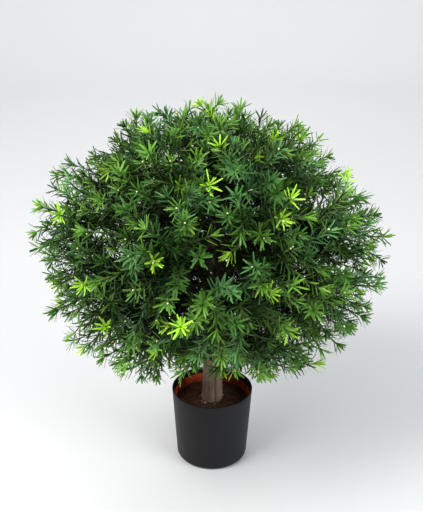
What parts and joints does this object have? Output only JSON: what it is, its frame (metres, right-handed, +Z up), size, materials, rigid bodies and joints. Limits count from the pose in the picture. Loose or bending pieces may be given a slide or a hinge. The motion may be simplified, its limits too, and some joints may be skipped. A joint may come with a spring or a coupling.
{
  "type": "artificial yew ball tree in a pot",
  "caption": "Artificial yew with a round crown of needled shoots on a short wooden post, in a plain black plastic pot with an inner pot and coir.",
  "frame": {"origin": "middle of the pot's flat underside", "axes": "+Z up the post; the pictured side faces -Y"},
  "size_m": [0.538, 0.5484, 0.5965],
  "materials": {
    "outer_pot": "satin moulded black plastic",
    "inner_pot": "terracotta-coloured moulded plastic",
    "potting_fill": "cast filler with a loose dark coir top",
    "post_wood": "dry unvarnished grey-brown wood with thin bark",
    "bough": "matt brown plastic over wire",
    "needles_dark": "soft satin moulded needles, dark green",
    "needles_mid": "soft satin moulded needles, mid green",
    "needles_light": "soft satin moulded needles, fresh green"
  },
  "bodies": {
    "root": {"outer_pot": "outer_pot", "inner_pot": "inner_pot", "potting_fill": "potting_fill", "trunk": "post_wood", "bough_skirt_1": "bough", "bough_skirt_2": "bough", "bough_skirt_3": "bough", "bough_skirt_4": "bough", "bough_skirt_5": "bough", "bough_skirt_6": "bough", "bough_lower_1": "bough", "bough_lower_2": "bough", "bough_lower_3": "bough", "bough_lower_4": "bough", "bough_lower_5": "bough", "bough_lower_6": "bough", "bough_lower_7": "bough", "bough_upper_1": "bough", "bough_upper_2": "bough", "bough_upper_3": "bough", "bough_upper_4": "bough", "bough_upper_5": "bough", "bough_upper_6": "bough", "bough_upper_7": "bough", "bough_shoulder_1": "bough", "bough_shoulder_2": "bough", "bough_shoulder_3": "bough", "bough_shoulder_4": "bough", "bough_shoulder_5": "bough", "foliage_skirt_1": "needles_dark", "foliage_skirt_2": "needles_mid", "foliage_skirt_3": "needles_light", "foliage_skirt_4": "needles_dark", "foliage_skirt_5": "needles_mid", "foliage_skirt_6": "needles_light", "foliage_lower_1": "needles_dark", "foliage_lower_2": "needles_mid", "foliage_lower_3": "needles_light", "foliage_lower_4": "needles_dark", "foliage_lower_5": "needles_mid", "foliage_lower_6": "needles_light", "foliage_lower_7": "needles_dark", "foliage_upper_1": "needles_mid", "foliage_upper_2": "needles_light", "foliage_upper_3": "needles_dark", "foliage_upper_4": "needles_mid", "foliage_upper_5": "needles_light", "foliage_upper_6": "needles_dark", "foliage_upper_7": "needles_mid", "foliage_shoulder_1": "needles_light", "foliage_shoulder_2": "needles_dark", "foliage_shoulder_3": "needles_mid", "foliage_shoulder_4": "needles_light", "foliage_shoulder_5": "needles_dark", "foliage_top": "needles_mid"}
  },
  "joints": []
}
